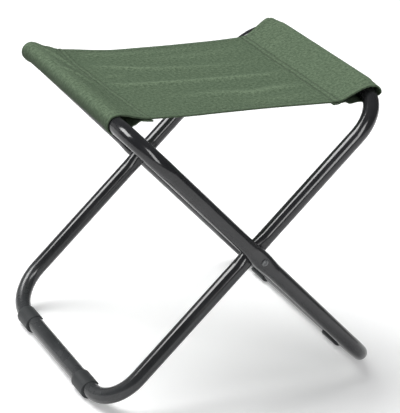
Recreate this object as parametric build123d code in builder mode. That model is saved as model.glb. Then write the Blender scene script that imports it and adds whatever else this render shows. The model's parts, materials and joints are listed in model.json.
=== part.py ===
"""Folding camp stool: two closed tube frames crossing at a pair of rivets, with a canvas
seat slung between their top bars. Millimetres, +Z up, Y along the bars and the pivot
axis. The origin is on the floor, under the middle of the open stool. Front is -Y.
The outer frame's top bar is at -X and the inner frame's top bar is at +X."""

import os
from math import asin, atan2, cos, radians, sin, sqrt

from build123d import *

os.makedirs("parts", exist_ok=True)

# Frames
tube_radius = 9.0
tube_wall = 1.2
upper_arm = 214.6  # pivot to top bar, along the leg
lower_arm = 229.4  # pivot to bottom bar, along the leg
lean_deg = 44.8  # each frame from the vertical, stool open
outer_width = 313.6  # between the centre lines of the outer frame's legs
leg_gap = 1.8  # between the round parts of an outer and an inner leg
bend_radius = 46.5
butt_gap = 0.4  # where a tube's two ends meet in the top bar
spigot_length = 60.0
spigot_wall = 1.5

# Legs pressed flatter at the pivot
pressed_depth = 8.0  # half thickness along the pivot axis
pressed_reach = 9.95  # half width across the leg
pressed_flat = 9.0  # half length of the evenly pressed part
pressed_end = 22.0  # where the leg is round again

# Pivots
rivet_radius = 2.5
running_fit = 0.05  # clearance on the radius
face_play = 0.1  # clearance between faces that turn on each other
head_radius = 3.9
head_height = 1.8
dimple_radius = 1.6
dimple_depth = 1.1
spot_depth = 0.6  # flat seats sunk in the pressed legs
head_spot_radius = 4.3
washer_spot_radius = 5.4
washer_radius = 5.0
washer_thickness = 1.0
spacer_radius = 7.0

# Clip-on feet
foot_length = 27.0
foot_radius = 11.3
foot_shift = 1.1  # the band is thicker below the bar
foot_height = 12.0  # bottom bar's axis above the floor
foot_slot_deg = 50.0
foot_chamfer = 0.6
outer_foot_places = {"front": -77.0, "rear": 94.0}
inner_foot_places = {"front": -76.0, "rear": 79.0}

# Canvas seat, described from a top bar's axis: inward, and up
cloth = 1.0
cloth_clearance = 0.3
sleeve_depth = 39.0  # in to where the sleeve is sewn shut
sleeve_drop = 2.0  # the sewn line is this far below the bar's axis
seat_sag = 5.0  # the middle of the seat is this far below it
seam_allowance = 11.0  # the sleeve's lower layer goes on this far under the seat
middle_gap = 0.3
hem_width = 9.0
thread_width = 0.8
thread_height = 0.4
sleeve_rows = (42.0, 48.0)
hem_row_inset = 7.0
row_margin = 2.0

# The canvas's edges in Y, at the outer bar, its sewn line, the middle, and so on across.
# The sides are cut hollow, and the canvas has slid to the rear on the outer bar.
front_edge = (-98.0, -91.0, -93.0, -110.5, -110.0)
rear_edge = (126.0, 116.0, 106.5, 101.0, 117.0)
longest_edge = 150.0  # beyond every edge

lean = radians(lean_deg)
inner_width = outer_width - 4 * tube_radius - 2 * leg_gap
pivot_height = foot_height + lower_arm * cos(lean)
top_bar_x = upper_arm * sin(lean)
top_bar_z = pivot_height + upper_arm * cos(lean)
bottom_bar_x = lower_arm * sin(lean)

OUTER, INNER = -1, 1  # the side of X on which a frame has its top bar
FRONT, REAR = -1, 1  # the side of Y


def save(builder, name):
    builder.part.label = name
    export_step(builder.part, f"parts/{name}.step")


def frame_plane(side):
    """The plane of a frame, from the pivot: local X is world Y, local Y runs up the leg."""
    return Plane(
        origin=(0, 0, pivot_height),
        x_dir=(0, 1, 0),
        z_dir=(cos(lean), 0, -side * sin(lean)),
    )


def sweep_run(plane, points, outside, inside=0.0, mode=Mode.ADD):
    """One round stretch along points in a frame's plane, hollow if inside isn't 0."""
    with BuildLine(plane) as line:
        FilletPolyline(*points, radius=bend_radius)
    path = line.wires()[0]
    with BuildSketch(Plane(origin=path @ 0, z_dir=path % 0)) as section:
        Circle(outside)
        if inside:
            Circle(inside, mode=Mode.SUBTRACT)
    sweep(section.sketch, path=path, mode=mode)


def loop_runs(width):
    """The round stretches of a loop between its butt joint and the pressed parts."""
    leg = width / 2
    butt = butt_gap / 2
    top_rear = [(butt, upper_arm), (leg, upper_arm), (leg, pressed_end)]
    bottom = [
        (leg, -pressed_end),
        (leg, -lower_arm),
        (-leg, -lower_arm),
        (-leg, -pressed_end),
    ]
    top_front = [(-leg, pressed_end), (-leg, upper_arm), (-butt, upper_arm)]
    return [top_rear, bottom, top_front]


def pressed_sections(plane, leg, inset):
    """Sections of a leg through its pressed part, inset by the wall for the bore."""
    halfway = (pressed_flat + pressed_end) / 2
    stations = {
        -pressed_end: 0.0,
        -halfway: 0.5,
        -pressed_flat: 1.0,
        pressed_flat: 1.0,
        halfway: 0.5,
        pressed_end: 0.0,
    }
    sections = []
    for station, share in stations.items():
        depth = tube_radius + share * (pressed_depth - tube_radius) - inset
        reach = tube_radius + share * (pressed_reach - tube_radius) - inset
        centre = plane.from_local_coords(Vector(leg, station, 0))
        across = Plane(origin=centre, x_dir=plane.z_dir, z_dir=plane.y_dir)
        with BuildSketch(across) as section:
            Ellipse(reach, depth)
        sections.append(section.sketch)
    return sections


def spot_face(width, facing, radius):
    """Sinks flat seats round the pivot axis: facing 1 outside the legs, -1 inside them."""
    for side in (FRONT, REAR):
        face = side * (width / 2 + facing * (pressed_depth - spot_depth))
        seat = Plane(origin=(0, face, pivot_height), z_dir=(0, side * facing, 0))
        with BuildSketch(seat) as spot:
            Circle(radius)
        extrude(spot.sketch, amount=2 * spot_depth, mode=Mode.SUBTRACT)


def tube_loop(name, side, width, facing, spot_radius):
    """A frame: hollow tube in a closed loop, pressed and bored where the legs cross."""
    plane = frame_plane(side)
    with BuildPart() as tube:
        for points in loop_runs(width):
            sweep_run(plane, points, tube_radius, tube_radius - tube_wall)
        for leg in (-width / 2, width / 2):
            loft(pressed_sections(plane, leg, 0.0))
            loft(pressed_sections(plane, leg, tube_wall), mode=Mode.SUBTRACT)
        spot_face(width, facing, spot_radius)
        with BuildSketch(Plane(origin=(0, 0, pivot_height), z_dir=(0, 1, 0))):
            Circle(rivet_radius + running_fit)
        extrude(amount=width, both=True, mode=Mode.SUBTRACT)
    save(tube, name)


def spigot(name, side):
    """The joiner pressed into both ends of a tube where they meet in the top bar."""
    middle = (side * top_bar_x, 0, top_bar_z)
    outside = tube_radius - tube_wall
    with BuildPart() as joiner:
        with BuildSketch(Plane(origin=middle, z_dir=(0, 1, 0))):
            Circle(outside)
            Circle(outside - spigot_wall, mode=Mode.SUBTRACT)
        extrude(amount=spigot_length / 2, both=True)
    save(joiner, name)


# Places along the pivot axis, from the middle of the stool outward
head_seat = outer_width / 2 + pressed_depth - spot_depth
head_top = head_seat + head_height
spacer_inside = inner_width / 2 + pressed_depth + face_play
spacer_outside = outer_width / 2 - pressed_depth / 2
washer_outside = inner_width / 2 - pressed_depth + spot_depth - face_play
washer_inside = washer_outside - washer_thickness
tail_end = washer_inside - head_height
pivot_axis = Axis((0, 0, pivot_height), (0, 1, 0))


def axis_plane(side):
    """A plane through the pivot axis: local X runs outward along it, local Y is up."""
    return Plane(origin=(0, 0, pivot_height), x_dir=(0, side, 0), z_dir=(side, 0, 0))


def revolve_outline(side, corners):
    with BuildSketch(axis_plane(side)) as outline:
        with BuildLine():
            Polyline(*corners, close=True)
        make_face()
    revolve(outline.sketch, axis=pivot_axis)


def rivet_washer(name, side):
    bore = rivet_radius + running_fit
    with BuildPart() as washer:
        revolve_outline(
            side,
            [
                (washer_inside, bore),
                (washer_outside, bore),
                (washer_outside, washer_radius),
                (washer_inside, washer_radius),
            ],
        )
    save(washer, name)


def saddle_spacer(name, side):
    """Nylon spacer between the legs: flat on the inner leg, hollowed to fit the outer."""
    bore = rivet_radius + running_fit
    plane = frame_plane(OUTER)
    leg = plane.from_local_coords(Vector(side * outer_width / 2, -tube_radius, 0))
    with BuildPart() as spacer:
        revolve_outline(
            side,
            [
                (spacer_inside, bore),
                (spacer_outside, bore),
                (spacer_outside, spacer_radius),
                (spacer_inside, spacer_radius),
            ],
        )
        with BuildSketch(Plane(origin=leg, x_dir=plane.z_dir, z_dir=plane.y_dir)):
            Ellipse(pressed_reach + running_fit, pressed_depth + running_fit)
        extrude(amount=2 * tube_radius, mode=Mode.SUBTRACT)
    save(spacer, name)


def rivet_head(seat, top):
    """Points of a domed, dimpled head from its seat to its middle."""
    outward = 1 if top > seat else -1
    brow = (dimple_radius + head_radius) / 2
    return [
        (seat, rivet_radius),
        (seat, head_radius - 0.2),
        (seat + outward * 0.2, head_radius),
        (seat + outward * 0.45 * head_height, head_radius - 0.15),
        (seat + outward * 0.8 * head_height, brow + 0.55),
        (top, brow),
        (seat + outward * 0.9 * head_height, dimple_radius),
        (top - outward * dimple_depth, dimple_radius * 0.5),
        (top - outward * dimple_depth, 0.0),
    ]


def rivet(name, side):
    """Tubular rivet, headed outside the outer leg and rolled over inside the inner one."""
    outside = rivet_head(head_seat, head_top)
    inside = rivet_head(washer_inside, tail_end)
    with BuildPart() as pin:
        revolve_outline(side, outside + inside[::-1])
    save(pin, name)


def foot(name, side, place):
    """A split plastic band round a bottom bar, thick and flat below, open inward."""
    section = Plane(
        origin=(-side * bottom_bar_x, place, foot_height),
        x_dir=(1, 0, 0),
        z_dir=(0, -1, 0),
    )
    reach = 2 * foot_radius
    opening = reach * sin(radians(foot_slot_deg / 2))
    with BuildPart() as band:
        with BuildSketch(section):
            with Locations((0, -foot_shift)):
                Circle(foot_radius)
        extrude(amount=foot_length / 2, both=True)
        chamfer(band.edges().filter_by(GeomType.CIRCLE), foot_chamfer)
        with BuildSketch(section):
            Circle(tube_radius + running_fit)
            with Locations((0, -foot_height - reach / 2)):
                Rectangle(2 * reach, reach)
            with BuildLine():
                Polyline(
                    (0, 0),
                    (side * reach, opening),
                    (side * reach, -opening),
                    close=True,
                )
            make_face()
        extrude(amount=foot_length, both=True, mode=Mode.SUBTRACT)
    save(band, name)


def seat_plane(side, place=0.0):
    """Cross-section of the seat: local X runs inward from a top bar's axis, local Y up."""
    return Plane(
        origin=(side * top_bar_x, place, top_bar_z),
        x_dir=(-side, 0, 0),
        z_dir=(0, side, 0),
    )


def seat_height(inward):
    """Height of the seat's mid-surface against the bar's axis."""
    share = (inward - sleeve_depth) / (top_bar_x - sleeve_depth)
    return -sleeve_drop - share * (seat_sag - sleeve_drop)


def teardrop(radius, reach, mode=Mode.ADD):
    """A loop of cloth round a bar, drawn to a point at reach."""
    heading = atan2(-sleeve_drop, reach)
    spread = radians(90) - asin(radius / sqrt(reach**2 + sleeve_drop**2))
    tip = (reach, -sleeve_drop)
    upper = (radius * cos(heading + spread), radius * sin(heading + spread))
    lower = (radius * cos(heading - spread), radius * sin(heading - spread))
    with BuildLine() as outline:
        Line(tip, upper)
        ThreePointArc(upper, (-radius, 0), lower)
        Line(lower, tip)
    make_face(outline.edges(), mode=mode)


def strip(start, end, bottom, top, mode=Mode.ADD):
    """A flat layer of the seat from start to end, inward, between two heights off it."""
    with BuildLine() as outline:
        Polyline(
            (start, seat_height(start) + bottom),
            (end, seat_height(end) + bottom),
            (end, seat_height(end) + top),
            (start, seat_height(start) + top),
            close=True,
        )
    make_face(outline.edges(), mode=mode)


def seat_plan(inset, mode=Mode.ADD):
    """The whole canvas seen from above, bar to bar, with its front and rear edges inset."""
    sewn = top_bar_x - sleeve_depth
    beyond = top_bar_x + sleeve_depth
    across = (-top_bar_x, -sewn, 0.0, sewn, top_bar_x)
    front = [(x, y + inset) for x, y in zip(across, front_edge)]
    rear = [(x, y - inset) for x, y in zip(across, rear_edge)]
    with BuildLine() as outline:
        for edge in (front, rear):
            Polyline((-beyond, edge[0][1]), *edge[:2])
            Spline(*edge[1:4])
            Polyline(*edge[3:], (beyond, edge[4][1]))
        for end in (-beyond, beyond):
            bar = 0 if end < 0 else 4
            Line((end, front[bar][1]), (end, rear[bar][1]))
    make_face(outline.edges(), mode=mode)


def trim(outer_inset, inner_inset=None):
    """Keeps what is within the canvas's outline, or within a band along its edges."""
    with BuildSketch(Plane.XY.offset(top_bar_z)) as plan:
        seat_plan(outer_inset)
        if inner_inset is not None:
            seat_plan(inner_inset, mode=Mode.SUBTRACT)
    extrude(plan.sketch, amount=sleeve_depth, both=True, mode=Mode.INTERSECT)


def seat_sleeve(name, side, width):
    """The end of the canvas folded round a top bar, open where the bends leave it."""
    inside = tube_radius + cloth_clearance
    nose = 4.0  # the drawn point, past the sewn line outside and short of it inside
    overlap = 0.5
    plane = frame_plane(side)
    with BuildPart() as sleeve:
        with BuildSketch(seat_plane(side)):
            teardrop(inside + cloth, sleeve_depth + nose)
            with Locations((sleeve_depth + tube_radius, 0)):
                Rectangle(2 * tube_radius, 4 * tube_radius, mode=Mode.SUBTRACT)
            teardrop(inside, sleeve_depth - nose, mode=Mode.SUBTRACT)
            strip(
                sleeve_depth - overlap,
                sleeve_depth + seam_allowance,
                -1.5 * cloth,
                -0.5 * cloth,
            )
        extrude(amount=longest_edge, both=True)
        trim(0.0)
        for end in (FRONT, REAR):
            corner = (end * width / 2, upper_arm)
            before = (end * (width / 2 - bend_radius - tube_radius), upper_arm)
            after = (end * width / 2, upper_arm - bend_radius - tube_radius)
            bend = [before, corner, after]
            sweep_run(plane, bend, inside + cloth_clearance, mode=Mode.SUBTRACT)
    save(sleeve, name)


def seat_panel(name, side):
    """Half of the seat's flat canvas, from the sewn line to the middle of the stool."""
    with BuildPart() as panel:
        with BuildSketch(seat_plane(side)):
            strip(sleeve_depth, top_bar_x - middle_gap / 2, -cloth / 2, cloth / 2)
        extrude(amount=longest_edge, both=True)
        trim(0.0)
    save(panel, name)


def seat_hems(name, side):
    """The canvas turned under along the front and rear edges of half of the seat."""
    start = sleeve_depth + seam_allowance
    end = top_bar_x - middle_gap / 2
    with BuildPart() as hems:
        with BuildSketch(seat_plane(side)):
            strip(start, end, -1.5 * cloth, -0.5 * cloth)
        extrude(amount=longest_edge, both=True)
        trim(0.0, hem_width)
    save(hems, name)


def seat_stitching(name, side):
    """Thread on top of the canvas: two rows along the sleeve and one along each hem."""
    top = cloth / 2 + thread_height
    start = max(sleeve_rows) + row_margin
    end = top_bar_x - middle_gap / 2
    with BuildPart() as thread:
        with BuildSketch(seat_plane(side)):
            strip(start, end, cloth / 2, top)
        extrude(amount=longest_edge, both=True)
        trim(hem_row_inset - thread_width / 2, hem_row_inset + thread_width / 2)
        with BuildPart() as rows:
            with BuildSketch(seat_plane(side)):
                for row in sleeve_rows:
                    strip(
                        row - thread_width / 2, row + thread_width / 2, cloth / 2, top
                    )
            extrude(amount=longest_edge, both=True)
            trim(row_margin)
    save(thread, name)


tube_loop("outer_frame_tube", OUTER, outer_width, 1, head_spot_radius)
tube_loop("inner_frame_tube", INNER, inner_width, -1, washer_spot_radius)
spigot("outer_frame_spigot", OUTER)
spigot("inner_frame_spigot", INNER)

for end_name, end_side in {"front": FRONT, "rear": REAR}.items():
    rivet(f"{end_name}_pivot_rivet", end_side)
    rivet_washer(f"{end_name}_rivet_washer", end_side)
    saddle_spacer(f"{end_name}_pivot_spacer", end_side)
    foot(f"outer_frame_{end_name}_foot", OUTER, outer_foot_places[end_name])
    foot(f"inner_frame_{end_name}_foot", INNER, inner_foot_places[end_name])

for half_name, half_side, loop_width in (
    ("outer", OUTER, outer_width),
    ("inner", INNER, inner_width),
):
    seat_sleeve(f"{half_name}_seat_sleeve", half_side, loop_width)
    seat_panel(f"{half_name}_seat_panel", half_side)
    seat_hems(f"{half_name}_seat_hems", half_side)
    seat_stitching(f"{half_name}_seat_stitching", half_side)
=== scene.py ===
"""The folding camp stool's looks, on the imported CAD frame. Metres, +Z up, front is -Y.

The tubes, feet and rivets are the CAD's own and get materials here. Each half of the canvas is
one sheet: from the raw edge under the seam, out round its bar and over to the middle of the
stool, with its front and rear edges folded under as hems and sewn with real stitches.
Cloth coordinates: "inward" is the distance from a bar's axis towards the middle of the stool,
"rise" is the height above that axis, and Y is the world's.
"""

import json
import math

import bpy
import numpy as np
from mathutils import Matrix, Vector


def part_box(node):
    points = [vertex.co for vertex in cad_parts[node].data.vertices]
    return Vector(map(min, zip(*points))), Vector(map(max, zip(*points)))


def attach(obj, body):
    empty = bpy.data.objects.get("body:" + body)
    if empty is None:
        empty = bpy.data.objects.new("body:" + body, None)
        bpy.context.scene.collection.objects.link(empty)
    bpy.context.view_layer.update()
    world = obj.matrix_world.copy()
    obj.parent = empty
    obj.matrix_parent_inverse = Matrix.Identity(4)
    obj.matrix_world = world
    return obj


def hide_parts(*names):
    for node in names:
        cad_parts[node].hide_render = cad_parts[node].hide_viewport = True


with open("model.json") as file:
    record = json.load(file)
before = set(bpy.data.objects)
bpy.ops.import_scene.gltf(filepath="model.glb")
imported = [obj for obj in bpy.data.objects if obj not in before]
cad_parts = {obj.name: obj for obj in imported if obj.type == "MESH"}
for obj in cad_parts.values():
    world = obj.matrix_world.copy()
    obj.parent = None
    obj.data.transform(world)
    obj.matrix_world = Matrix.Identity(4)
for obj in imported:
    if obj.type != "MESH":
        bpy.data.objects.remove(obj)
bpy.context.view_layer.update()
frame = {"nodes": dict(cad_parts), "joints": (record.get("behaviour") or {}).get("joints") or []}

MM = 0.001
OUTER, INNER = -1.0, 1.0  # the sign of X on each half's side
HALF = {OUTER: "outer", INNER: "inner"}


def linked(name, data):
    """A new object in the scene."""
    item = bpy.data.objects.new(name, data)
    bpy.context.scene.collection.objects.link(item)
    return item


# ---------------------------------------------------------------- the frame's own sizes

swing = next(j for j in frame["joints"] if j["name"] == "inner_seat_swing")
BAR_X, BAR_Z = swing["pos_m"][0], swing["pos_m"][2]  # the outer bar's X is -BAR_X
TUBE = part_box("inner_frame_tube")[1].z - BAR_Z  # radius
LEG_Y = {s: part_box(f"{HALF[s]}_frame_tube")[1].y - TUBE for s in (OUTER, INNER)}
BEND = 46.5 * MM  # radius of the tube's centre line
SEWN = BAR_X - max(abs(c.x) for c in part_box("inner_seat_panel"))  # inward, to a CAD panel


def canvas_edges():
    """Curves y(x) fitted to the front and rear edges of the CAD's seat panels."""
    points = np.array(
        [
            v.co
            for half in HALF.values()
            for v in frame["nodes"][f"{half}_seat_panel"].data.vertices
        ]
    )
    x, y = points[:, 0], points[:, 1]
    middle = y.mean()
    return [np.polyfit(x[keep], y[keep], 3) for keep in (y < middle, y > middle)]


FRONT_CURVE, REAR_CURVE = canvas_edges()
SEAT_FRONT, SEAT_REAR = np.polyval(FRONT_CURVE, 0.0), np.polyval(REAR_CURVE, 0.0)

# ---------------------------------------------------------------- the canvas

CLOTH = 0.8 * MM
LAYER = 0.95 * MM  # between the middles of two layers that lie on each other
WRAP = TUBE + 0.15 * MM + CLOTH / 2  # radius of the cloth's middle round a bar
WRAP_ANGLES = np.radians(np.linspace(-78, -282, 32))  # from under the bar, round its outer side
HEM = 8.0 * MM
HEM_ROW = 6.6 * MM  # the hem's stitches, from its folded edge
# Distances inward: the seam's two rows, and the raw edge of the allowance under them.
SEAM_ROWS = (42.3 * MM, 48.0 * MM)
SEAM_MIDDLE = sum(SEAM_ROWS) / 2
RAW_EDGE = 49.3 * MM
# Where the sleeve's upper layer runs into the seat, and how far either side that is rounded.
SEAM_AT = 44.0 * MM
SEAM_RISE = -2.6 * MM
SEAM_ROUND = 8 * MM
SAG = 4.5 * MM  # of the middle of the seat, below the bars' axes
# How far the seam's lower layer sticks out past the upper one at the front and rear edges, and
# the distances inward between which it comes out.
TAB = {OUTER: 2.2 * MM, INNER: 1.7 * MM}
TAB_FADE = {OUTER: (35 * MM, 39 * MM), INNER: (40.5 * MM, 43 * MM)}
# The seam runs nearer to the outer bar than the pattern's line: by so much at front and rear.
SEAM_SLANT = {OUTER: (-4.6 * MM, -13.5 * MM), INNER: (0.0, 0.0)}
# How much larger the sleeve's radius is than a snug one, at its ends and along its middle. Its
# axis moves out and up by as much, so that the sleeve still lies on the bar below and inward.
STAND_OFF = {OUTER: (0.0, 0.0), INNER: (0.3 * MM, 1.9 * MM)}
DIAGONAL = math.sqrt(0.5)
# How far the upper layer arches up about the seam, at its front and rear edges.
EDGE_ARCH = {OUTER: (2.0 * MM, 4.6 * MM), INNER: (0.0, 0.0)}
# How far the front edge of the sleeve's underside is drawn back, clear of the bend.
DRAWN_BACK = {OUTER: 0.0, INNER: 9.5 * MM}
# How far the upper and lower layers part where the tube bends away, as shares of its shift.
UPPER_OPENING, LOWER_OPENING = 0.36, 1.25
# How far the upper layer lifts at the sleeve's ends, and over what depth.
MOUTH_FLARE, MOUTH_DEPTH = 1.0 * MM, 16 * MM
# How deep the stitches pull the seam's rows and a hem's row in.
SEAM_ROW_DEPTH, HEM_ROW_DEPTH = 0.45 * MM, 0.18 * MM
# Heights of the ridge between the seam's rows and of the roll of a hem's fold.
RIDGE, HEM_ROLL = 0.35 * MM, 0.12 * MM
RIDGE_WIDTH = (SEAM_ROWS[1] - SEAM_ROWS[0]) / 3.2


def smooth(value, start, end):
    """0 up to the start, 1 from the end on, and an even S-curve between them."""
    share = np.clip((value - start) / (end - start), 0.0, 1.0)
    return share * share * (3 - 2 * share)


def bell(value, at, width):
    """1 at a place, and next to nothing from twice the width away."""
    return np.exp(-(((value - at) / width) ** 2))


def bulge(inward):
    """0 over the bar and at the seam, and 1 a third of the way between them."""
    share = np.clip(inward / SEAM_AT, 0.0, 1.0)
    return 27 / 4 * share * (1 - share) ** 2


def edge_y(side, inward, curve, bar_y):
    """Y of the canvas's front or rear edge at a distance inward from a bar."""
    x = side * (BAR_X - inward)
    on_panel = np.polyval(curve, x)
    at_seam = np.polyval(curve, side * (BAR_X - SEWN))
    share = np.clip(inward / SEWN, 0.0, 1.0)
    on_sleeve = bar_y + share * (at_seam - bar_y)
    return np.where(inward >= SEWN, on_panel, on_sleeve)


def bend_shift(side, y):
    """How far the bend has taken the tube off the bar's line at y, up to nearly all of it."""
    past = np.clip(np.abs(y) - (LEG_Y[side] - BEND), 0.0, BEND * 0.98)
    return BEND - np.sqrt(BEND**2 - past**2)


def slanted(side, inward, y):
    """Where a line of the pattern lies once the seam has been drawn towards its bar."""
    at_front, at_rear = SEAM_SLANT[side]
    share = (y - SEAT_FRONT) / (SEAT_REAR - SEAT_FRONT)
    drawn = at_front + share * (at_rear - at_front)
    nearby = smooth(inward, 5 * MM, 40 * MM) * (1 - smooth(inward, 50 * MM, 128 * MM))
    return inward + drawn * nearby


def stand_off(side, y, front, rear):
    """How much larger the sleeve's radius is: less at its ends, where the hems grip it."""
    at_ends, along = STAND_OFF[side]
    inset = np.minimum(y - front, rear - y)
    return at_ends + (along - at_ends) * smooth(inset, 2 * MM, 24 * MM)


def taut_line(inward, radius, end_in, end_rise, sign):
    """Cloth from over a bar (sign 1) or under it (-1) to a point: its rise and its slope."""
    reach = np.hypot(end_in, end_rise)
    angle = np.arcsin(radius / reach) - sign * np.arctan2(end_rise, end_in)
    touch = radius * np.sin(angle)
    on_bar = np.sqrt(np.maximum(radius**2 - inward**2, 0.0))
    taut = radius / np.cos(angle) - inward * np.tan(angle)
    return sign * np.where(inward < touch, on_bar, taut), -sign * np.tan(angle)


def kinked(value, at, rise, before, after, width):
    """A line that changes slope at a point, rounded over a width either side of it."""
    offset = value - at
    inside = np.abs(offset) < width
    line = rise + np.where(offset < 0, before, after) * offset
    curve = (
        rise
        + (before + after) / 2 * offset
        + (after - before) / (4 * width) * (offset**2 + width**2)
    )
    return np.where(inside, curve, line)


def panel_rise(inward):
    """The seat's own sag between the seams, flat at the middle."""
    x = (BAR_X - inward) / (BAR_X - SEAM_AT)
    return -SAG + (SAG + SEAM_RISE) * x**2


def upper_rise(side, inward, y, lift, off, flare):
    """Middle of the upper layer above the bar's axis."""
    shift = off * DIAGONAL
    line, slope = taut_line(
        inward + shift, WRAP + lift + off, SEAM_AT + shift, SEAM_RISE - shift, 1
    )
    after = -2 * (SAG + SEAM_RISE) / (BAR_X - SEAM_AT)
    corner = kinked(inward, SEAM_AT, SEAM_RISE, slope, after, SEAM_ROUND)
    joined = np.where(inward < SEAM_AT - SEAM_ROUND, line + shift, corner)
    low_facing_up = np.where(inward < SEAM_AT + SEAM_ROUND, joined, panel_rise(inward))
    at_front, at_rear = EDGE_ARCH[side]
    rearward = smooth(y, SEAT_REAR - 36 * MM, SEAT_REAR + 14 * MM)
    frontward = 1 - smooth(y, SEAT_FRONT - 10 * MM, SEAT_FRONT + 34 * MM)
    arch = at_rear * rearward * smooth(inward, 12 * MM, 36 * MM)
    arch = arch + at_front * frontward * smooth(inward, 16 * MM, 44 * MM)
    arch = arch * (1 - smooth(inward, 46 * MM, 104 * MM))
    # The outer sleeve stays shut at the rear, where the seam is drawn close to its bar.
    opened = (UPPER_OPENING * bend_shift(side, y) + flare) * (1 - rearward * (side == OUTER))
    return low_facing_up + bulge(inward) * opened + arch


def lower_rise(side, inward, y, lift, off):
    """Middle of the sleeve's lower layer, and of its allowance under the seam."""
    shift = off * DIAGONAL
    under = upper_rise(side, inward, y, lift, off, 0.0) - LAYER
    meet = SEAM_AT - 4 * MM
    meet_rise = upper_rise(side, np.array([meet]), np.array([0.0]), 0.0, 0.0, 0.0)[0] - LAYER
    line, _ = taut_line(inward + shift, WRAP + lift + off, meet + shift, meet_rise - shift, -1)
    blend = smooth(inward, meet - 12 * MM, meet + 1 * MM)
    low_facing_up = (line + shift) * (1 - blend) + under * blend
    opened = bulge(inward) * LOWER_OPENING * bend_shift(side, y)
    return low_facing_up - opened - 2 * lift * blend


def stations(start, *runs):
    """Values from a start on: each run is (end, step), and its steps are evened out."""
    values = [start]
    for end, step in runs:
        count = max(1, round(abs(end - values[-1]) / step))
        values += list(np.linspace(values[-1], end, count + 1)[1:])
    return np.array(values)


# How far inward the rows of points lie, closest together at the seam: on the lower layer from
# the raw edge to the bar, and on the upper one from the bar to the middle of the stool.
LOWER_ROWS = stations(
    RAW_EDGE, (49 * MM, 0.8 * MM), (47 * MM, 0.5 * MM), (41 * MM, 0.8 * MM), (2 * MM, 1.7 * MM)
)
UPPER_ROWS = stations(
    3 * MM,
    (40.3 * MM, 1.2 * MM),
    (44 * MM, 0.5 * MM),
    (46.5 * MM, 0.75 * MM),
    (49.5 * MM, 0.5 * MM),
    (BAR_X, 1.7 * MM),
)
# Columns across the cloth: distances in from an edge, then shares of the rest.
EDGE_COLUMNS = MM * np.array(
    [0.0, 0.6, 1.4, 2.6, 4.0, 5.2, 6.0, 6.6, 7.2, 8.0, 9.2, 11.0, 13.5]
)
MIDDLE_COLUMNS = np.linspace(0.0, 1.0, 84)[1:-1]
# Columns of a hem: angles round its fold, then distances in from it, on the layer underneath.
FOLD_ANGLES = np.radians([36, 72, 108, 144, 180])
UNDER_COLUMNS = MM * np.array([0.8, 2.6, 5.0, 6.8, 8.0])
HEM_COLUMNS = len(FOLD_ANGLES) + len(UNDER_COLUMNS)


def columns_across(front, rear):
    """Y of every column of the flat part of the cloth, for each row's two edges."""
    near = front[:, None] + EDGE_COLUMNS[None, :]
    far = rear[:, None] - EDGE_COLUMNS[None, ::-1]
    span = far[:, 0] - near[:, -1]
    middle = near[:, -1:] + span[:, None] * MIDDLE_COLUMNS[None, :]
    return np.concatenate([near, middle, far], axis=1)


# A crest's hollow: a share of its height, and how many half widths in front of it.
HOLLOW, HOLLOW_AT = 0.55, 1.6


def crest(across, along, line, width, heights, hollow=HOLLOW):
    """A soft crest with a hollow on its front side, along a line of (along, across) points."""
    at = np.array([p[0] for p in line]) * MM
    middle = np.interp(along, at, np.array([p[1] for p in line]) * MM)
    height = np.interp(along, at, np.array(heights) * MM, left=0.0, right=0.0)
    lean = abs(line[-1][1] - line[0][1]) / (line[-1][0] - line[0][0])
    offset = (across - middle) / (width * MM * math.hypot(1.0, lean))
    return height * (np.exp(-(offset**2)) - hollow * np.exp(-((offset + HOLLOW_AT) ** 2)))


# Crests that the pull between the bars leaves in the seat: points (x, y) in mm, the
# crest's half width and its height at each point.
SEAT_CRESTS = (
    (
        ((-103, 64), (-80, 57), (-57, 47), (-26, 40), (38, 29), (96, 24)),
        4.6,
        (0.5, 1.3, 1.4, 1.1, 0.6, 0.0),
    ),
    (((-103, 34), (-91, 34), (-66, 30)), 3.6, (0.3, 0.8, 0.0)),
    (
        ((-105, 12), (-91, 6), (-46, 0), (18, -7), (51, -11), (78, -14), (102, -10)),
        4.4,
        (0.6, 1.4, 1.4, 1.3, 1.3, 1.0, 0.0),
    ),
    (((-70, -37), (-1, -43), (34, -53), (64, -51), (100, -53)), 6.0, (0.0, 1.0, 1.4, 1.3, 0.2)),
    (((-102, 98), (-50, 94), (0, 88), (50, 86)), 6.0, (0.5, 0.6, 0.4, 0.0)),
    (((-50, 74), (20, 66), (90, 70)), 8.0, (0.0, 0.6, 0.2)),
    (((0, -76), (60, -80), (100, -84)), 7.0, (0.0, 0.5, 0.2)),
)
# Pulls in the sleeves towards the seams: points (inward, y) in mm, half width, heights.
SLEEVE_CRESTS = {
    OUTER: (
        (((5, 112), (10, 103), (17, 87), (22, 73), (27, 58)), 2.2, (0.1, 1.5, 1.9, 1.6, 0.2)),
        (((4, 50), (7, 42), (15, 32), (21, 23), (30, 8)), 2.2, (0.1, 1.5, 1.9, 1.7, 0.2)),
        (((8, -8), (20, -20), (32, -28)), 3.6, (0.0, 0.5, 0.1)),
        (((10, -60), (22, -66), (34, -68)), 3.6, (0.0, 0.4, 0.1)),
    ),
    INNER: (
        (((8, -8), (24, -26), (38, -36)), 4.0, (0.0, 0.5, 0.2)),
        (((10, 64), (26, 54), (38, 50)), 4.4, (0.0, 0.5, 0.2)),
    ),
}
# Slow waves of worn cloth: radians per metre along X and Y, phase, height in mm.
WAVES = (
    (23.0, 61.0, 0.3, 0.13),
    (-31.0, 47.0, 1.9, 0.12),
    (52.0, 29.0, 4.1, 0.10),
    (11.0, 110.0, 2.4, 0.08),
    (75.0, -64.0, 5.2, 0.06),
)


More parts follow.
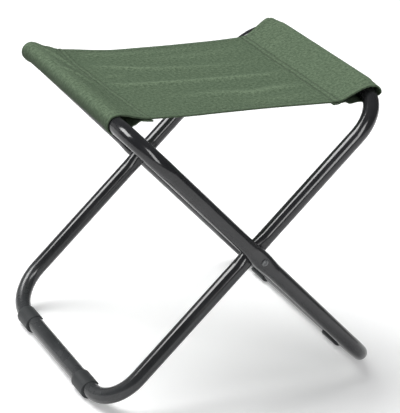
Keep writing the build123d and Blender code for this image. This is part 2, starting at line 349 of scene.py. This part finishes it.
def seat_relief(side, inward, drawn, y):
    """How far the upper layer and the seat stand off their plain shape."""
    x = side * (BAR_X - drawn)
    on_seat = smooth(inward, SEAM_ROWS[1] + 0.5 * MM, SEAM_ROWS[1] + 6 * MM)
    relief = sum(crest(y, x, *c) for c in SEAT_CRESTS) * on_seat
    uneven = sum(h * MM * np.sin(a * x + b * y + c) for a, b, c, h in WAVES)
    relief += uneven * smooth(inward, 4 * MM, 20 * MM)
    sleeve_only = 1 - smooth(inward, SEAM_ROWS[0] - 4 * MM, SEAM_ROWS[0])
    relief += sum(crest(y, drawn, *c) for c in SLEEVE_CRESTS[side]) * sleeve_only
    for row in SEAM_ROWS:
        relief -= SEAM_ROW_DEPTH * bell(inward, row, 0.8 * MM)
    relief += RIDGE * bell(inward, SEAM_MIDDLE, RIDGE_WIDTH)
    return relief


def hem_lift(inset):
    """How far a folded hem pushes the cloth off what it lies on."""
    return LAYER * (1 - smooth(inset, HEM - 0.5 * MM, HEM + 8.0 * MM))


def hem_relief(inset):
    """The row sewn along a hem, and the soft roll of its fold."""
    row = -HEM_ROW_DEPTH * bell(inset, HEM_ROW, 0.9 * MM)
    return row + HEM_ROLL * bell(inset, 3 * MM, 2 * MM)


def grid_normals(points, side):
    """Normals that point away from the bar, and up on the seat."""
    along = np.gradient(points, axis=0)
    over = np.gradient(points, axis=1)
    normals = np.cross(along, over) * -side
    return normals / np.linalg.norm(normals, axis=-1, keepdims=True)


def canvas_grid(side):
    """The middle surface of half of the canvas: points and outward normals by row and column.

    Each row also has the layer it is in, its distance inward and, round the bar, how far it
    faces up.
    """
    bar_front, bar_rear = (c.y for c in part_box(f"{HALF[side]}_seat_sleeve"))
    rows = [("lower", inward, 0.0) for inward in LOWER_ROWS]
    rows += [("wrap", WRAP * math.cos(angle), angle) for angle in WRAP_ANGLES]
    rows += [("upper", inward, 0.0) for inward in UPPER_ROWS]
    kinds, inward, angle = (np.array(values) for values in zip(*rows))
    lower, wrapped, upper = (kinds == kind for kind in ("lower", "wrap", "upper"))

    tab = np.where(lower, TAB[side] * smooth(inward, *TAB_FADE[side]), 0.0)
    front = edge_y(side, inward, FRONT_CURVE, bar_front) - tab
    rear = edge_y(side, inward, REAR_CURVE, bar_rear) + tab
    drawn_back = np.where(
        wrapped,
        smooth(-np.sin(angle), -0.3, 1.0),
        np.where(lower, 1 - smooth(inward, 8 * MM, 38 * MM), 0.0),
    )
    front = front + DRAWN_BACK[side] * drawn_back

    y = columns_across(front, rear)
    inset = np.minimum(y - front[:, None], rear[:, None] - y)
    lift = hem_lift(inset)
    flare = MOUTH_FLARE * (1 - smooth(inset, 0.0, MOUTH_DEPTH))
    off = stand_off(side, y, front[:, None], rear[:, None])
    plain = np.broadcast_to(inward[:, None], y.shape)
    drawn = slanted(side, plain, y)
    rise = np.zeros_like(y)
    rise[lower] = lower_rise(side, plain[lower], y[lower], lift[lower], off[lower])
    rise[upper] = upper_rise(
        side, plain[upper], y[upper], lift[upper], off[upper], flare[upper]
    )
    radius = WRAP + lift[wrapped] + off[wrapped]
    turn = angle[wrapped][:, None]
    drawn[wrapped] = radius * np.cos(turn) - off[wrapped] * DIAGONAL
    rise[wrapped] = radius * np.sin(turn) + off[wrapped] * DIAGONAL

    points = np.stack([side * (BAR_X - drawn), y, BAR_Z + rise], axis=-1)
    height = np.zeros_like(y)
    height[upper] = seat_relief(side, plain[upper], drawn[upper], y[upper])
    height += hem_relief(inset)
    points = points + grid_normals(points, side) * height[..., None]
    return {
        "kinds": kinds,
        "inward": inward,
        "facing_up": np.sin(angle),
        "points": points,
        "normals": grid_normals(points, side),
    }


def hem_columns(points, normals):
    """Points and normals of the fold at the first column and of the layer turned under it."""
    inset = np.linalg.norm(points - points[:, :1], axis=-1)
    edge_normal = normals[:, 0]
    outward = points[:, 0] - points[:, 1]
    outward -= (outward * edge_normal).sum(-1, keepdims=True) * edge_normal
    outward /= np.linalg.norm(outward, axis=-1, keepdims=True)
    radius = LAYER / 2
    centre = points[:, 0] - edge_normal * radius
    hem_points, hem_normals = [], []
    for angle in FOLD_ANGLES:
        way = edge_normal * math.cos(angle) + outward * math.sin(angle)
        hem_points.append(centre + way * radius)
        hem_normals.append(way)
    for distance in UNDER_COLUMNS:
        at = np.array([np.searchsorted(row, distance) for row in inset])
        at = np.clip(at, 1, points.shape[1] - 1)
        i = np.arange(len(at))
        share = (distance - inset[i, at - 1]) / (inset[i, at] - inset[i, at - 1])
        share = share[:, None]
        above = points[i, at - 1] * (1 - share) + points[i, at] * share
        way = normals[i, at - 1] * (1 - share) + normals[i, at] * share
        hem_points.append(above - way * LAYER)
        hem_normals.append(-way)
    return np.stack(hem_points, 1), np.stack(hem_normals, 1)


def path_lengths(points, axis=0):
    """How far along its path each point lies: a path runs along one axis of the array."""
    steps = np.linalg.norm(np.diff(points, axis=axis), axis=-1)
    start = np.zeros_like(np.take(steps, [0], axis=axis))
    return np.concatenate([start, np.cumsum(steps, axis=axis)], axis=axis)


# How pale the canvas is painted, partly as rubbed wear and partly as painted highlight: all
# over the sleeve's upper layer, on the seam's ridge, and the height of a crest that is painted
# fully pale, on the seat and on the sleeves.
SLEEVE_WEAR_AND_HIGHLIGHT = {OUTER: 0.0, INNER: 0.8}
RIDGE_WEAR_AND_HIGHLIGHT = 0.9
SEAT_WEAR_AND_HIGHLIGHT_FULL, SLEEVE_WEAR_AND_HIGHLIGHT_FULL = 0.55 * MM, 0.8 * MM
# Painted shade, as how dark the canvas is painted: on the lower layer, round the bar's outer
# side, at a row, on a folded hem.
LOWER_SHADE = {OUTER: 0.6, INNER: 0.25}
WRAP_SHADE = 1.9
ROW_SHADE = 1.5
HEM_SHADE = 1.3


def canvas_wear_and_highlight(side, grid, points):
    """How pale each point of the canvas is painted, as rubbed wear and painted highlight: on
    crowns, crests and the seam's ridge.
    """
    inward = grid["inward"]
    upper = grid["kinds"] == "upper"
    # Paler over the top of the bar, and more where the wrap faces up: partly rubbed wear, partly
    # painted highlight.
    crown = np.where(upper, 1 - smooth(inward, 2 * MM, 16 * MM), 0.0)
    crown += np.where(grid["kinds"] == "wrap", smooth(grid["facing_up"], 0.3, 0.9), 0.0)
    crown = np.maximum(crown, np.where(upper & (inward < SEAM_AT), SLEEVE_WEAR_AND_HIGHLIGHT[side], 0.0))
    wear = np.repeat(crown[:, None], points.shape[1], axis=1)
    flat_part = slice(HEM_COLUMNS, -HEM_COLUMNS)
    x, y = points[:, flat_part, 0], points[:, flat_part, 1]
    rubbed_and_highlit = sum(crest(y, x, *c, hollow=0.0) for c in SEAT_CRESTS) / SEAT_WEAR_AND_HIGHLIGHT_FULL
    rubbed_and_highlit *= (upper & (inward > SEAM_ROWS[1]))[:, None]
    pulled_and_highlit = sum(crest(y, BAR_X - abs(x), *c, hollow=0.0) for c in SLEEVE_CRESTS[side])
    pulled_and_highlit = pulled_and_highlit / SLEEVE_WEAR_AND_HIGHLIGHT_FULL * (upper & (inward < SEAM_ROWS[0]))[:, None]
    wear[:, flat_part] += rubbed_and_highlit + pulled_and_highlit
    wear += np.where(upper, RIDGE_WEAR_AND_HIGHLIGHT * bell(inward, SEAM_MIDDLE, 1.7 * MM), 0.0)[:, None]
    return wear


def canvas_shade(side, grid, points):
    """Painted shade: how dark each point of the canvas is painted round the bar, below, at the
    rows, on the hems.
    """
    kinds, inward = grid["kinds"], grid["inward"]
    down_side = WRAP_SHADE * (1 - smooth(grid["facing_up"], -0.2, 0.95))
    shade = np.where(kinds == "wrap", down_side, 0.0)
    shade = np.where(kinds == "lower", LOWER_SHADE[side], shade)
    for row in SEAM_ROWS:
        shade += np.where(kinds == "upper", ROW_SHADE * bell(inward, row, 0.9 * MM), 0.0)
    shade = np.repeat(shade[:, None], points.shape[1], axis=1)
    for fold in (slice(HEM_COLUMNS + 1), slice(-HEM_COLUMNS - 1, None)):
        shade[:, fold] = np.maximum(shade[:, fold], HEM_SHADE)
    return shade


def cloth_uv(side, points):
    """Each point's place on the cloth: lengths from the middle of the stool, and across."""
    middle = points.shape[1] // 2
    run = path_lengths(points[:, middle])
    run = side * (run[-1] - run)
    over = path_lengths(points, axis=1)
    over = over - over[:, middle : middle + 1] + points[:, middle : middle + 1, 1]
    return np.stack([np.broadcast_to(run[:, None], over.shape), over], axis=-1)


def closed_sheet(name, points, normals, flipped):
    """A mesh of a grid's two skins and its rim. Each skin's vertices are in the grid's order."""
    outer_skin = points + normals * CLOTH / 2
    inner_skin = points - normals * CLOTH / 2
    vertices = np.concatenate([outer_skin.reshape(-1, 3), inner_skin.reshape(-1, 3)])
    rows, columns = points.shape[:2]
    count = rows * columns
    index = np.arange(count).reshape(rows, columns)
    a, b = index[:-1, :-1], index[1:, :-1]
    c, d = index[1:, 1:], index[:-1, 1:]
    top = np.stack([a, b, c, d], -1).reshape(-1, 4)
    bottom = np.stack([a, d, c, b], -1).reshape(-1, 4) + count
    rims = []
    for line, backwards in (
        (index[0], False),
        (index[-1], True),
        (index[:, 0], True),
        (index[:, -1], False),
    ):
        rim = np.stack([line[:-1], line[1:], line[1:] + count, line[:-1] + count], -1)
        rims.append(rim[:, ::-1] if backwards else rim)
    faces = np.concatenate([top, bottom, *rims])
    if flipped:
        faces = faces[:, ::-1]
    mesh = bpy.data.meshes.new(name)
    mesh.from_pydata(vertices.tolist(), [], faces.tolist())
    mesh.shade_smooth()
    mesh.set_sharp_from_angle(angle=math.radians(50))
    return mesh


def make_canvas(side):
    """Half of the canvas as a closed thin piece, and the grid that it was made from."""
    grid = canvas_grid(side)
    points, normals = grid["points"], grid["normals"]
    front_points, front_normals = hem_columns(points, normals)
    rear_points, rear_normals = hem_columns(points[:, ::-1], normals[:, ::-1])
    points = np.concatenate([front_points[:, ::-1], points, rear_points], axis=1)
    normals = np.concatenate([front_normals[:, ::-1], normals, rear_normals], axis=1)
    mesh = closed_sheet(f"{HALF[side]}_seat_canvas", points, normals, side == INNER)
    for name, tone in (("wear", canvas_wear_and_highlight), ("seam", canvas_shade)):
        attribute = mesh.attributes.new(name, "FLOAT", "POINT")
        values = tone(side, grid, points).reshape(-1).astype(np.float32)
        attribute.data.foreach_set("value", np.concatenate([values, values]))
    uv = cloth_uv(side, points).reshape(-1, 2)
    uv = np.concatenate([uv, uv])
    layer = mesh.uv_layers.new(name="cloth")
    corner = np.zeros(len(mesh.loops), np.int32)
    mesh.loops.foreach_get("vertex_index", corner)
    layer.data.foreach_set("uv", uv[corner].astype(np.float32).reshape(-1))
    mesh.update()
    return linked(mesh.name, mesh), grid


# ---------------------------------------------------------------- thread

STITCH = 3.0 * MM
STITCH_GAP = 0.5 * MM
STITCH_RINGS = 6
THREAD = 0.27 * MM  # radius
THREAD_SIDES = 6
# How deep a stitch's ends are sunk in the cloth, and how far its middle bows up from there.
SUNK, BOW = 0.25 * MM, 0.33 * MM
# What is left bare at each end of a seam's row, and at the start and the end of a hem's.
SEAM_BARE, HEM_BARE = (1.2 * MM, 1.2 * MM), (1.0 * MM, 0.25 * MM)
NUDGE = 0.2 * MM  # to either side of a point, to tell which way its line runs


def along_line(points, normals, bare):
    """Places, directions and normals of the rings of each stitch along a line."""
    run = path_lengths(points)

    def at_length(values, length):
        return np.array([np.interp(length, run, values[:, k]) for k in range(3)])

    stitches = []
    at = bare[0]
    while at + STITCH < run[-1] - bare[1]:
        rings = []
        for share in np.linspace(0.0, 1.0, STITCH_RINGS):
            s = at + share * STITCH
            up = at_length(normals, s)
            up /= np.linalg.norm(up)
            way = at_length(points, s + NUDGE) - at_length(points, s - NUDGE)
            way /= np.linalg.norm(way)
            height = CLOTH / 2 - SUNK + BOW * math.sin(math.pi * share)
            rings.append((at_length(points, s) + up * height, way, up))
        stitches.append(rings)
        at += STITCH + STITCH_GAP
    return stitches


def make_thread(side, grid):
    """Every stitch of half of the seat, one small bowed run of thread each."""
    points, normals = grid["points"], grid["normals"]
    kinds, inward = grid["kinds"], grid["inward"]
    lines = []
    for kind in ("upper", "lower"):
        for row in SEAM_ROWS:
            pick = np.where(kinds == kind)[0]
            nearest = pick[np.argmin(abs(inward[pick] - row))]
            lines.append((points[nearest], normals[nearest], SEAM_BARE))
    hem_column = int(np.argmin(abs(EDGE_COLUMNS - HEM_ROW)))
    shown = np.where((kinds != "lower") | (inward < SEAM_ROWS[0]))[0]
    for column in (hem_column, points.shape[1] - 1 - hem_column):
        lines.append((points[shown, column], normals[shown, column], HEM_BARE))
    vertices, faces = [], []
    for line in lines:
        for rings in along_line(*line):
            first = len(vertices)
            for place, way, up in rings:
                beside = np.cross(way, up)
                for k in range(THREAD_SIDES):
                    a = 2 * math.pi * k / THREAD_SIDES
                    vertices.append(place + (beside * math.cos(a) + up * math.sin(a)) * THREAD)
            for r in range(len(rings) - 1):
                for k in range(THREAD_SIDES):
                    n = (k + 1) % THREAD_SIDES
                    i = first + r * THREAD_SIDES
                    faces.append((i + k, i + n, i + THREAD_SIDES + n, i + THREAD_SIDES + k))
            faces.append(tuple(first + k for k in reversed(range(THREAD_SIDES))))
            last = first + (len(rings) - 1) * THREAD_SIDES
            faces.append(tuple(last + k for k in range(THREAD_SIDES)))
    mesh = bpy.data.meshes.new(f"{HALF[side]}_seat_thread")
    mesh.from_pydata([tuple(v) for v in vertices], [], faces)
    mesh.shade_smooth()
    return linked(mesh.name, mesh)


# ---------------------------------------------------------------- materials


class Nodes:
    """A short way to write a material's node tree."""

    def __init__(self, name):
        self.material = bpy.data.materials.new(f"looks_{name}")
        self.material.use_nodes = True
        self.tree = self.material.node_tree
        self.tree.nodes.clear()
        self.shader = self.add("ShaderNodeBsdfPrincipled")
        output = self.add("ShaderNodeOutputMaterial")
        self.link(self.shader.outputs["BSDF"], output.inputs["Surface"])

    def add(self, kind, **settings):
        node = self.tree.nodes.new(kind)
        for key, value in settings.items():
            setattr(node, key, value)
        return node

    def link(self, source, target):
        self.tree.links.new(source, target)

    def put(self, socket, value):
        """Links a node's output to a socket, or sets the socket to a plain value."""
        if isinstance(value, bpy.types.NodeSocket):
            self.link(value, socket)
        else:
            socket.default_value = value

    def math(self, operation, a, b=0.0, c=0.0):
        node = self.add("ShaderNodeMath", operation=operation)
        for socket, value in zip(node.inputs, (a, b, c)):
            self.put(socket, value)
        return node.outputs[0]

    def noise(self, vector, scale, detail, roughness=0.55):
        node = self.add("ShaderNodeTexNoise", noise_dimensions="3D")
        self.link(vector, node.inputs["Vector"])
        node.inputs["Scale"].default_value = scale
        node.inputs["Detail"].default_value = detail
        node.inputs["Roughness"].default_value = roughness
        return node.outputs["Fac"]

    def spread(self, value, low, high, to_low=0.0, to_high=1.0):
        """Maps the range low to high to another one, and holds at its ends."""
        node = self.add("ShaderNodeMapRange")
        for socket, v in zip(node.inputs, (value, low, high, to_low, to_high)):
            self.put(socket, v)
        return node.outputs["Result"]

    def stretched(self, vector, scale):
        node = self.add("ShaderNodeMapping")
        self.link(vector, node.inputs["Vector"])
        node.inputs["Scale"].default_value = scale
        return node.outputs["Vector"]

    def split(self, vector):
        """A vector's X, Y and Z."""
        node = self.add("ShaderNodeSeparateXYZ")
        self.link(vector, node.inputs[0])
        return node.outputs

    def mix(self, share, a, b):
        """From colour a to colour b, by a share."""
        node = self.add("ShaderNodeMix", data_type="RGBA")
        self.put(node.inputs[0], share)
        self.put(node.inputs[6], a)
        self.put(node.inputs[7], b)
        return node.outputs[2]

    def bump(self, height, distance, strength, normal=None):
        node = self.add("ShaderNodeBump")
        self.put(node.inputs["Height"], height)
        node.inputs["Distance"].default_value = distance
        node.inputs["Strength"].default_value = strength
        if normal is not None:
            self.link(normal, node.inputs["Normal"])
        return node.outputs["Normal"]

    def place(self):
        return self.add("ShaderNodeTexCoord").outputs["Object"]

    def edges(self, sharp, most):
        """A share that is 0 on what is flat or hollow, and most at an edge this sharp."""
        pointiness = self.add("ShaderNodeNewGeometry").outputs["Pointiness"]
        return self.spread(pointiness, 0.52, sharp, 0.0, most)

    def attribute(self, name):
        return self.add("ShaderNodeAttribute", attribute_name=name).outputs["Fac"]

    def finish(self, color, roughness, normal, **constants):
        self.put(self.shader.inputs["Base Color"], color)
        self.put(self.shader.inputs["Roughness"], roughness)
        self.link(normal, self.shader.inputs["Normal"])
        for key, value in constants.items():
            self.shader.inputs[key.replace("_", " ")].default_value = value
        return self.material


def brighter(color, factor):
    """A colour times a factor, opaque and at most white."""
    return tuple(min(1.0, factor * c) for c in color[:3]) + (1,)


def paint_material():
    """Semi-gloss black powder coat: faint orange peel, haze, rubs, dust, and a paler, rougher
    tone low down on what faces up.
    """
    n = Nodes("frame_paint")
    place = n.place()
    peel = n.noise(place, scale=900.0, detail=2.0)
    haze = n.noise(place, scale=38.0, detail=4.0)
    rubs = n.noise(n.stretched(place, (260.0, 30.0, 260.0)), scale=9.0, detail=2.0)
    rub = n.spread(rubs, 0.66, 0.74)
    dust = n.noise(place, scale=240.0, detail=4.0, roughness=0.7)

    black, hazed = (0.0165, 0.0170, 0.0185, 1), (0.0235, 0.0240, 0.0260, 1)
    base = n.mix(n.spread(haze, 0.35, 0.7), black, hazed)
    base = n.mix(n.math("MULTIPLY", rub, 0.35), base, (0.055, 0.057, 0.060, 1))
    base = n.mix(n.spread(dust, 0.60, 0.78, 0.0, 0.30), base, (0.060, 0.060, 0.058, 1))

    # Paler and rougher below 70 mm from the floor, and less so on what faces down.
    facing_up = n.split(n.add("ShaderNodeTexCoord").outputs["Normal"])["Z"]
    low_down = n.spread(n.split(place)["Z"], 20 * MM, 70 * MM, 1.0, 0.0)
    low_facing_up = n.math("MULTIPLY", low_down, n.spread(facing_up, -0.6, 0.5))
    low_facing_up = n.math("MULTIPLY", low_facing_up, n.spread(haze, 0.35, 0.65, 0.60, 0.95))
    base = n.mix(low_facing_up, base, (0.048, 0.051, 0.053, 1))

    rough = n.spread(haze, 0.3, 0.75, 0.11, 0.18)
    rough = n.math("MULTIPLY_ADD", low_facing_up, 0.16, rough)
    rough = n.math("ADD", rough, n.math("MULTIPLY", rub, 0.10))
    normal = n.bump(peel, distance=0.02 * MM, strength=0.12)
    normal = n.bump(rubs, distance=0.02 * MM, strength=0.10, normal=normal)
    return n.finish(base, rough, normal, IOR=1.5, Specular_IOR_Level=0.5)


def plastic_material(name, dark, light, rough):
    """Moulded plastic with a fine spark-eroded grain and paler, handled edges."""
    n = Nodes(name)
    place = n.place()
    grain = n.noise(place, scale=1500.0, detail=3.0, roughness=0.65)
    cloud = n.noise(place, scale=70.0, detail=3.0)
    base = n.mix(cloud, dark, light)
    base = n.mix(n.edges(sharp=0.60, most=0.5), base, brighter(light, 2.2))
    base = n.mix(n.spread(grain, 0.55, 0.8, 0.0, 0.4), base, brighter(light, 1.7))
    roughness = n.spread(cloud, 0.3, 0.7, rough - 0.06, rough + 0.06)
    normal = n.bump(grain, distance=0.06 * MM, strength=0.5)
    return n.finish(base, roughness, normal, Specular_IOR_Level=0.25)


def metal_material(name, dark, light, rough, metallic):
    """Steel with the marks of being turned or drawn, and rubbed edges."""
    n = Nodes(name)
    place = n.place()
    lines = n.noise(n.stretched(place, (400.0, 60.0, 400.0)), scale=6.0, detail=3.0)
    blotch = n.noise(place, scale=450.0, detail=3.0)
    base = n.mix(n.spread(blotch, 0.35, 0.65), dark, light)
    base = n.mix(n.edges(sharp=0.62, most=0.6), base, brighter(light, 2.0))
    roughness = n.spread(lines, 0.3, 0.7, rough - 0.08, rough + 0.08)
    normal = n.bump(lines, distance=0.03 * MM, strength=0.4)
    return n.finish(base, roughness, normal, Metallic=metallic)


YARN = 0.62 * MM  # from one yarn to the next


def canvas_material():
    """Olive plain-weave canvas: yarns over and under, slubs, mottling, pale wear with painted
    highlight, and painted shade.
    """
    n = Nodes("canvas")
    cloth = n.add("ShaderNodeUVMap", uv_map="cloth").outputs["UV"]
    place = n.split(cloth)
    wobble = n.math("MULTIPLY", n.noise(cloth, scale=55.0, detail=2.0), 1.2)
    pitch = math.pi / YARN
    warp = n.math("SINE", n.math("MULTIPLY_ADD", place["X"], pitch, wobble))
    weft = n.math("SINE", n.math("MULTIPLY_ADD", place["Y"], pitch, wobble))
    over = n.math("GREATER_THAN", n.math("MULTIPLY", warp, weft), 0.0)
    under = n.math("SUBTRACT", 1.0, over)
    warp_round, weft_round = n.math("ABSOLUTE", warp), n.math("ABSOLUTE", weft)
    warp_yarn = n.math("MULTIPLY", warp_round, n.math("SQRT", weft_round))
    weft_yarn = n.math("MULTIPLY", weft_round, n.math("SQRT", warp_round))
    weave = n.math(
        "ADD", n.math("MULTIPLY", over, warp_yarn), n.math("MULTIPLY", under, weft_yarn)
    )
    fleck = n.noise(cloth, scale=700.0, detail=3.0, roughness=0.7)
    slub_warp = n.noise(n.stretched(cloth, (900.0, 60.0, 1.0)), scale=1.0, detail=2.0)
    slub_weft = n.noise(n.stretched(cloth, (60.0, 900.0, 1.0)), scale=1.0, detail=2.0)
    slubs = n.math("MAXIMUM", slub_warp, slub_weft)
    mottle = n.noise(cloth, scale=300.0, detail=3.0, roughness=0.75)
    cloud = n.noise(cloth, scale=22.0, detail=4.0)

    dark, light = (0.064, 0.100, 0.058, 1), (0.162, 0.224, 0.142, 1)
    base = n.mix(n.spread(mottle, 0.36, 0.64), dark, light)
    base = n.mix(n.spread(cloud, 0.3, 0.7, 0.0, 0.30), base, (0.098, 0.148, 0.094, 1))
    base = n.mix(n.spread(fleck, 0.55, 0.75, 0.0, 0.45), base, (0.175, 0.215, 0.150, 1))
    base = n.mix(n.spread(slubs, 0.58, 0.85, 0.0, 0.35), base, (0.160, 0.205, 0.138, 1))
    # Painted shade in the hollows between the yarns.
    between_yarns = n.spread(weave, 0.0, 0.55, 0.30, 0.0)
    base = n.mix(between_yarns, base, (0.032, 0.050, 0.028, 1))
    # Paler on crowns, crests and the seam's ridge: partly rubbed wear, partly painted highlight.
    rubbed_and_highlit = n.math("MULTIPLY", n.attribute("wear"), n.spread(mottle, 0.35, 0.75, 0.05, 0.34))
    base = n.mix(rubbed_and_highlit, base, (0.225, 0.305, 0.195, 1))
    # Painted shade: darker round the bar's lower side, on the lower layer, along the seam's rows
    # and on the hems' folds.
    shaded = n.math("MULTIPLY", n.attribute("seam"), 0.40)
    base = n.mix(shaded, base, (0.034, 0.050, 0.029, 1))

    rough = n.spread(mottle, 0.3, 0.7, 0.78, 0.92)
    height = n.math("ADD", weave, n.math("MULTIPLY", mottle, 0.8))
    normal = n.bump(height, distance=0.10 * MM, strength=0.55)
    normal = n.bump(cloud, distance=1.2 * MM, strength=0.25, normal=normal)
    return n.finish(base, rough, normal, Specular_IOR_Level=0.15)


def thread_material():
    """Twisted thread, a little darker than the canvas."""
    n = Nodes("thread")
    place = n.place()
    twist = n.noise(place, scale=2600.0, detail=2.0)
    fade = n.noise(place, scale=130.0, detail=3.0)
    base = n.mix(twist, (0.040, 0.058, 0.034, 1), (0.088, 0.115, 0.072, 1))
    base = n.mix(n.spread(fade, 0.4, 0.7, 0.0, 0.3), base, (0.110, 0.138, 0.092, 1))
    rough = n.spread(twist, 0.3, 0.7, 0.55, 0.75)
    normal = n.bump(twist, distance=0.08 * MM, strength=0.6)
    return n.finish(base, rough, normal, Sheen_Weight=0.1)


def floor_material():
    """Pale and matt, with a glow of its own that keeps shadows on it light."""
    n = Nodes("pale_floor")
    grain = n.noise(n.place(), scale=6.0, detail=4.0)
    base = n.mix(grain, (0.88, 0.88, 0.88, 1), (0.92, 0.92, 0.92, 1))
    rough = n.spread(grain, 0.3, 0.7, 0.85, 0.95)
    normal = n.bump(grain, distance=0.2 * MM, strength=0.1)
    glow = {"Emission_Color": (1.0, 1.0, 1.0, 1.0), "Emission_Strength": 0.32}
    return n.finish(base, rough, normal, **glow)


PAINT = paint_material()
PLASTIC = plastic_material(
    "foot_plastic",
    dark=(0.022, 0.024, 0.025, 1),
    light=(0.033, 0.035, 0.036, 1),
    rough=0.50,
)
NYLON = plastic_material(
    "spacer_nylon",
    dark=(0.020, 0.020, 0.022, 1),
    light=(0.032, 0.032, 0.034, 1),
    rough=0.48,
)
RIVET = metal_material(
    "rivet_steel",
    dark=(0.105, 0.108, 0.112, 1),
    light=(0.160, 0.163, 0.168, 1),
    rough=0.30,
    metallic=0.60,
)
STEEL = metal_material(
    "spigot_steel",
    dark=(0.38, 0.38, 0.39, 1),
    light=(0.52, 0.52, 0.53, 1),
    rough=0.32,
    metallic=1.0,
)
CANVAS = canvas_material()
THREAD_FINISH = thread_material()

# By the last word of a node's name.
FINISHES = {
    "tube": PAINT,
    "spigot": STEEL,
    "rivet": RIVET,
    "washer": RIVET,
    "spacer": NYLON,
    "foot": PLASTIC,
    "sleeve": CANVAS,
    "panel": CANVAS,
    "hems": CANVAS,
    "stitching": THREAD_FINISH,
}
for name, node in frame["nodes"].items():
    finish = FINISHES[name.split("_")[-1]]
    if not node.material_slots:
        node.data.materials.append(finish)
    for slot in node.material_slots:
        slot.material = finish

for side in (OUTER, INNER):
    half = HALF[side]
    canvas, grid = make_canvas(side)
    canvas.data.materials.append(CANVAS)
    thread = make_thread(side, grid)
    thread.data.materials.append(THREAD_FINISH)
    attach(canvas, f"{half}_seat")
    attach(thread, f"{half}_seat")
    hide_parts(*(f"{half}_seat_{part}" for part in ("sleeve", "panel", "hems")))
    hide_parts(f"{half}_seat_stitching")

# ---------------------------------------------------------------- floor, light, camera

REACH = 6.0  # of the floor, each way
floor_mesh = bpy.data.meshes.new("floor")
floor_mesh.from_pydata(
    [(-REACH, -REACH, 0), (REACH, -REACH, 0), (REACH, REACH, 0), (-REACH, REACH, 0)],
    [],
    [(0, 1, 2, 3)],
)
floor_mesh.materials.append(floor_material())
floor = linked("floor", floor_mesh)


def hang(name, light, place, target):
    """A lamp at a place, turned towards a target."""
    lamp = linked(name, light)
    lamp.location = place
    lamp.rotation_euler = (Vector(target) - Vector(place)).to_track_quat("-Z", "Y").to_euler()
    return lamp


def softbox(name, place, target, size, power):
    """A bright panel for gloss to mirror, which lights nothing matt and isn't seen itself."""
    light = bpy.data.lights.new(name, "AREA")
    light.shape = "RECTANGLE"
    light.size, light.size_y = size
    light.energy = power
    lamp = hang(name, light, place, target)
    lamp.visible_diffuse = False
    lamp.visible_camera = False


def skylight(name, place, spread_deg, strength):
    """Even, soft light from one side, which gloss doesn't mirror."""
    light = bpy.data.lights.new(name, "SUN")
    light.angle = math.radians(spread_deg)
    light.energy = strength
    hang(name, light, place, (0, 0, 0)).visible_glossy = False


skylight("key", place=(-0.66, 1.1, 2.4), spread_deg=42, strength=3.05)
skylight("fill", place=(-0.35, -1.6, 0.75), spread_deg=50, strength=0.6)
softbox(
    "left_window", place=(-1.28, 0.54, 1.70), target=(0, 0, 0.25), size=(1.15, 0.9), power=40
)
softbox(
    "front_window", place=(-0.28, -1.98, 1.5), target=(0, 0, 0.3), size=(0.75, 1.9), power=36
)
softbox("back_wall", place=(-2.2, 3.1, 1.0), target=(0, 0, 0.2), size=(3.0, 1.5), power=6)

world = bpy.data.worlds.new("studio")
world.use_nodes = True
background = world.node_tree.nodes["Background"]
background.inputs["Color"].default_value = (0.95, 0.97, 1.0, 1)
background.inputs["Strength"].default_value = 0.14
bpy.context.scene.world = world
bpy.context.scene.view_settings.view_transform = "Standard"


def aim(azimuth, elevation, roll):
    """A camera's axes: azimuth 0 looks along +Y, and roll turns it about its own line."""
    a, e, r = map(math.radians, (azimuth, elevation, roll))
    back = Vector((math.sin(a) * math.cos(e), -math.cos(a) * math.cos(e), math.sin(e)))
    right = Vector((0, 0, 1)).cross(back).normalized()
    up = back.cross(right)
    right, up = (
        math.cos(r) * right + math.sin(r) * up,
        math.cos(r) * up - math.sin(r) * right,
    )
    return Matrix((right, up, back)).transposed()


WIDTH, HEIGHT = 400, 413  # of the image
LENS = 155.76  # for a sensor 36 mm wide: Blender lays its 36 mm along the longer side
CAMERA_PLACE = (-0.8723, -1.5516, 1.0086)
camera_axes = aim(azimuth=-29.598, elevation=25.290, roll=4.339)
camera_data = bpy.data.cameras.new("camera")
camera_data.sensor_width = 36.0
camera_data.lens = LENS * WIDTH / HEIGHT
camera_data.dof.use_dof = False
camera = linked("camera", camera_data)
camera.matrix_world = Matrix.Translation(CAMERA_PLACE) @ camera_axes.to_4x4()
bpy.context.scene.camera = camera
